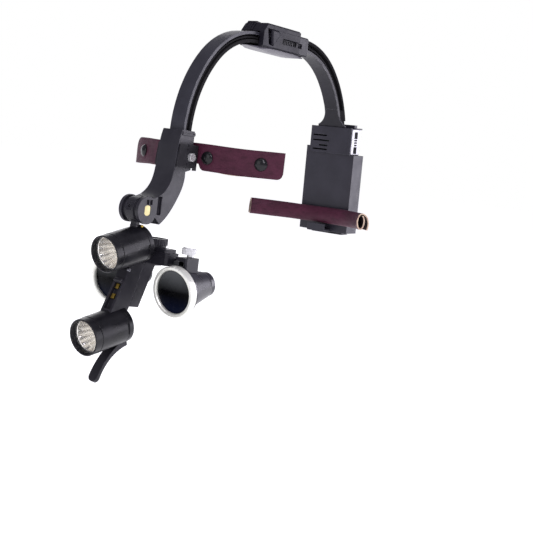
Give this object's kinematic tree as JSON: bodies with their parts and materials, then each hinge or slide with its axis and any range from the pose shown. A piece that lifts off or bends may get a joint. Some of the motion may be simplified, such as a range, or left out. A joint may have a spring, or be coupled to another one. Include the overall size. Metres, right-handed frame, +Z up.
{
  "type": "dental loupes",
  "caption": "Head-worn binocular loupes with two stacked lamps on a tilting front hinge, carried by an adjustable crown arch with a leather forehead band, neck strap and rear battery.",
  "frame": {"origin": "centre of the head that the arch sits on", "axes": "+Z up, the wearer faces -Y, the wearer's left is +X"},
  "size_m": [0.1306, 0.2848, 0.2653],
  "materials": {
    "black_plastic": "satin",
    "arm_plastic": "satin",
    "pad_plastic": "smooth",
    "flex_lead": "satin",
    "burgundy_leather": "grained with tan raw edges",
    "snap_black": "glossy",
    "steel": "brushed",
    "nickel": "polished",
    "blackened_steel": "knurled",
    "washer": "smooth",
    "brass": "polished",
    "lamp_black": "black anodised",
    "lamp_glass": "clear",
    "reflector": "fluted",
    "led": "satin",
    "scope_grey": "satin anodised",
    "lens_glass": "coated",
    "board": "solder mask",
    "label_white": "printed with level marks",
    "cell": "wrapped"
  },
  "bodies": {
    "adjuster": {"adjuster_body": "black_plastic", "adjuster_cover": "black_plastic", "crown_pad": "pad_plastic", "lever_pin": "steel", "button_spring": "steel"},
    "lock_lever": {"lock_lever": "black_plastic"},
    "push_button": {"push_button": "black_plastic"},
    "front_frame": {"front_arch": "arm_plastic", "front_flex_lead": "flex_lead", "forehead_arm": "arm_plastic", "hinge_pin": "steel", "hinge_washers": "washer"},
    "forehead_band": {"band_bracket": "black_plastic", "front_band": "burgundy_leather", "band_snaps": "snap_black"},
    "band_screw": {"band_screw": "blackened_steel"},
    "rear_frame": {"rear_arch": "black_plastic", "rear_flex_lead": "flex_lead", "housing_front": "black_plastic", "housing_back": "black_plastic", "circuit_board": "board", "side_plate": "label_white", "housing_screws": "steel", "battery_case": "black_plastic", "neck_strap": "burgundy_leather"},
    "battery_drawer": {"battery_drawer": "black_plastic", "battery_cell": "cell"},
    "lamp_head": {"hinge_barrel": "black_plastic", "brass_contacts": "brass", "optics_screws": "steel", "lamp_bracket": "black_plastic", "loupe_carrier": "black_plastic", "lamp_handle": "black_plastic", "rack_housing": "black_plastic", "rack_lid": "black_plastic", "upper_lamp_body": "lamp_black", "upper_lamp_cap": "lamp_black", "upper_lamp_glass": "lamp_glass", "upper_reflector": "reflector", "upper_led_module": "led", "lower_lamp_body": "lamp_black", "lower_lamp_cap": "lamp_black", "lower_lamp_glass": "lamp_glass", "lower_reflector": "reflector", "lower_led_module": "led"},
    "pupil_knob": {"pupil_knob": "black_plastic"},
    "left_rack": {"left_rack": "blackened_steel"},
    "right_rack": {"right_rack": "blackened_steel"},
    "left_loupe": {"left_clamp_block": "scope_grey", "left_scope_body": "scope_grey", "left_objective_ring": "nickel", "left_objective_lens": "lens_glass", "left_eyepiece_lens": "lens_glass"},
    "right_loupe": {"right_clamp_block": "scope_grey", "right_scope_body": "scope_grey", "right_objective_ring": "nickel", "right_objective_lens": "lens_glass", "right_eyepiece_lens": "lens_glass"},
    "left_thumbscrew": {"left_thumbscrew": "nickel"},
    "right_thumbscrew": {"right_thumbscrew": "nickel"}
  },
  "joints": [
    {"name": "front_extend", "type": "slide", "parent": "adjuster", "child": "front_frame", "axis": [0, -1, 0], "range_m": [0, 0.015]},
    {"name": "rear_extend", "type": "slide", "parent": "adjuster", "child": "rear_frame", "axis": [0, 1, 0], "range_m": [0, 0.015]},
    {"name": "lever_lift", "type": "hinge", "parent": "adjuster", "child": "lock_lever", "pos_m": [-0.0052, -0.0092, 0.1189], "axis": [-1, 0, 0], "range_deg": [0, 45]},
    {"name": "button_press", "type": "slide", "parent": "adjuster", "child": "push_button", "axis": [-1, 0, 0], "range_m": [0, 0.0012], "stiffness_N_per_m": 900, "deforming": ["button_spring"]},
    {"name": "band_tilt", "type": "hinge", "parent": "front_frame", "child": "forehead_band", "pos_m": [0, -0.0851, 0.0166], "axis": [1, 0, 0], "range_deg": [-10, 10]},
    {"name": "band_screw_turn", "type": "hinge", "parent": "front_frame", "child": "band_screw", "pos_m": [0.0122, -0.0851, 0.0166], "axis": [1, 0, 0], "range_deg": [-360, 0]},
    {"name": "head_tilt", "type": "hinge", "parent": "front_frame", "child": "lamp_head", "pos_m": [0, -0.1208, -0.0227], "axis": [1, 0, 0], "range_deg": [-60, 15]},
    {"name": "left_pupil", "type": "slide", "parent": "lamp_head", "child": "left_rack", "axis": [1, 0, 0], "range_m": [-0.003, 0.006]},
    {"name": "right_pupil", "type": "slide", "parent": "lamp_head", "child": "right_rack", "axis": [-1, 0, 0], "range_m": [-0.003, 0.006]},
    {"name": "knob_turn", "type": "hinge", "parent": "lamp_head", "child": "pupil_knob", "pos_m": [0, -0.1005, -0.0443], "axis": [0, 0, 1], "range_deg": [-124, 63]},
    {"name": "left_swivel", "type": "hinge", "parent": "left_rack", "child": "left_loupe", "pos_m": [0.0305, -0.096, -0.0562], "axis": [0, 0, 1], "range_deg": [-4, 4]},
    {"name": "right_swivel", "type": "hinge", "parent": "right_rack", "child": "right_loupe", "pos_m": [-0.0305, -0.096, -0.0562], "axis": [0, 0, -1], "range_deg": [-4, 4]},
    {"name": "left_screw_turn", "type": "hinge", "parent": "left_rack", "child": "left_thumbscrew", "pos_m": [0.0305, -0.096, -0.048], "axis": [0, 0, 1], "range_deg": [-180, 180]},
    {"name": "right_screw_turn", "type": "hinge", "parent": "right_rack", "child": "right_thumbscrew", "pos_m": [-0.0305, -0.096, -0.048], "axis": [0, 0, 1], "range_deg": [-180, 180]},
    {"name": "battery_eject", "type": "slide", "parent": "rear_frame", "child": "battery_drawer", "axis": [0, 0.0523, -0.9986], "range_m": [0, 0.062]}
  ],
  "couplings": [
    {"joint": "right_pupil", "follows": "left_pupil", "ratio": 1},
    {"joint": "knob_turn", "follows": "left_pupil", "rad_per_m": -357.14}
  ]
}
